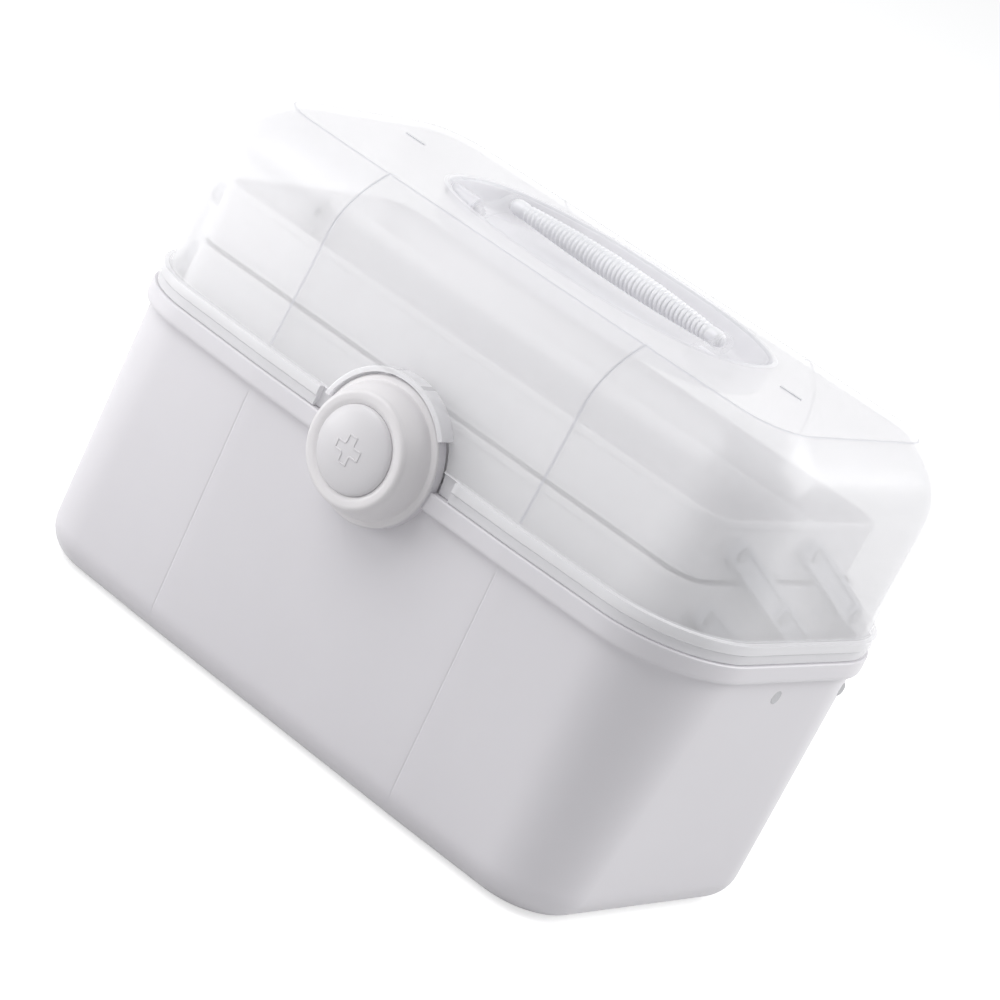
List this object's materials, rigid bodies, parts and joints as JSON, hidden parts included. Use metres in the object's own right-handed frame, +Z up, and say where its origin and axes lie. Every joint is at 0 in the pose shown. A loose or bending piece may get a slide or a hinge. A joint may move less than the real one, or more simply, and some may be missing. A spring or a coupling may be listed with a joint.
{
  "type": "medicine box",
  "caption": "Household medicine box with a tapered tub, clear hinged lid with sunk fold-flat handle, round push latch, and stepped trays that rise on links as the lid opens",
  "frame": {"origin": "on the resting face under the tub, midway between the ends and between the front and rear rims", "axes": "+X along the length, to the right seen from the front; -Y is the front with the latch; +Z up"},
  "size_m": [0.32, 0.2132, 0.2185],
  "materials": {
    "tub_white": "satin white moulding",
    "lid_clear": "clear with a faint frost",
    "latch_white": "satin",
    "button_white": "satin",
    "handle_grey": "translucent white, polished ends",
    "tray_white": "satin white moulding, faintly see-through",
    "link_white": "satin",
    "steel": "dull"
  },
  "bodies": {
    "tub": {"base_tub": "tub_white", "lid_hinge_pins": "steel", "latch_housing": "latch_white", "latch_spring": "steel", "hook_pin": "steel", "tub_link_pins": "steel"},
    "lid": {"lid_shell": "lid_clear", "handle_pins": "steel"},
    "handle": {"handle_arms": "handle_grey", "handle_grip": "handle_grey"},
    "button": {"latch_button": "button_white"},
    "hook": {"latch_hook": "tub_white"},
    "middle": {"middle_tray": "tray_white", "middle_dividers": "tray_white", "middle_link_pins": "steel"},
    "top": {"top_tray": "tray_white", "top_divider": "tray_white", "top_link_pins": "steel"},
    "long_right": {"long_link_right": "link_white"},
    "long_left": {"long_link_left": "link_white"},
    "lower_right": {"lower_link_right": "link_white"},
    "lower_left": {"lower_link_left": "link_white"},
    "upper_right": {"upper_link_right": "link_white"},
    "upper_left": {"upper_link_left": "link_white"}
  },
  "joints": [
    {"name": "lid_hinge", "type": "hinge", "parent": "tub", "child": "lid", "pos_m": [0, 0.097, 0.127], "axis": [-1, 0, 0], "range_deg": [0, 105]},
    {"name": "handle_hinge", "type": "hinge", "parent": "lid", "child": "handle", "pos_m": [0, -0.00823, 0.2075], "axis": [1, 0, 0], "range_deg": [0, 90]},
    {"name": "button_slide", "type": "slide", "parent": "tub", "child": "button", "axis": [0, 1, 0], "range_m": [0, 0.0025], "stiffness_N_per_m": 1200, "springref_m": -0.002, "deforming": ["latch_spring"]},
    {"name": "hook_hinge", "type": "hinge", "parent": "tub", "child": "hook", "pos_m": [0, -0.0816, 0.106], "axis": [-1, 0, 0], "range_deg": [0, 8]},
    {"name": "long_link_right_hinge", "type": "hinge", "parent": "tub", "child": "long_right", "pos_m": [0.14355, 0.0579, 0.10811], "axis": [-1, 0, 0], "range_deg": [0, 63]},
    {"name": "long_link_left_hinge", "type": "hinge", "parent": "tub", "child": "long_left", "pos_m": [-0.14355, 0.0579, 0.10811], "axis": [-1, 0, 0], "range_deg": [0, 63]},
    {"name": "lower_link_right_hinge", "type": "hinge", "parent": "tub", "child": "lower_right", "pos_m": [0.14355, 0.0019, 0.10811], "axis": [-1, 0, 0], "range_deg": [0, 63]},
    {"name": "lower_link_left_hinge", "type": "hinge", "parent": "tub", "child": "lower_left", "pos_m": [-0.14355, 0.0019, 0.10811], "axis": [-1, 0, 0], "range_deg": [0, 63]},
    {"name": "middle_tray_hinge", "type": "hinge", "parent": "long_right", "child": "middle", "pos_m": [0.14355, -0.003, 0.1385], "axis": [1, 0, 0], "range_deg": [0, 63]},
    {"name": "top_tray_hinge", "type": "hinge", "parent": "long_right", "child": "top", "pos_m": [0.14355, -0.0585, 0.1662], "axis": [1, 0, 0], "range_deg": [0, 63]},
    {"name": "upper_link_right_hinge", "type": "hinge", "parent": "middle", "child": "upper_right", "pos_m": [0.14355, 0.053, 0.1385], "axis": [-1, 0, 0], "range_deg": [0, 63]},
    {"name": "upper_link_left_hinge", "type": "hinge", "parent": "middle", "child": "upper_left", "pos_m": [-0.14355, 0.053, 0.1385], "axis": [-1, 0, 0], "range_deg": [0, 63]}
  ],
  "couplings": [
    {"joint": "hook_hinge", "follows": "button_slide", "rad_per_m": 53.4},
    {"joint": "long_link_right_hinge", "follows": "lid_hinge", "ratio": 0.6},
    {"joint": "long_link_left_hinge", "follows": "lid_hinge", "ratio": 0.6},
    {"joint": "lower_link_right_hinge", "follows": "lid_hinge", "ratio": 0.6},
    {"joint": "lower_link_left_hinge", "follows": "lid_hinge", "ratio": 0.6},
    {"joint": "middle_tray_hinge", "follows": "lid_hinge", "ratio": 0.6},
    {"joint": "top_tray_hinge", "follows": "lid_hinge", "ratio": 0.6},
    {"joint": "upper_link_right_hinge", "follows": "lid_hinge", "ratio": 0.6},
    {"joint": "upper_link_left_hinge", "follows": "lid_hinge", "ratio": 0.6}
  ]
}
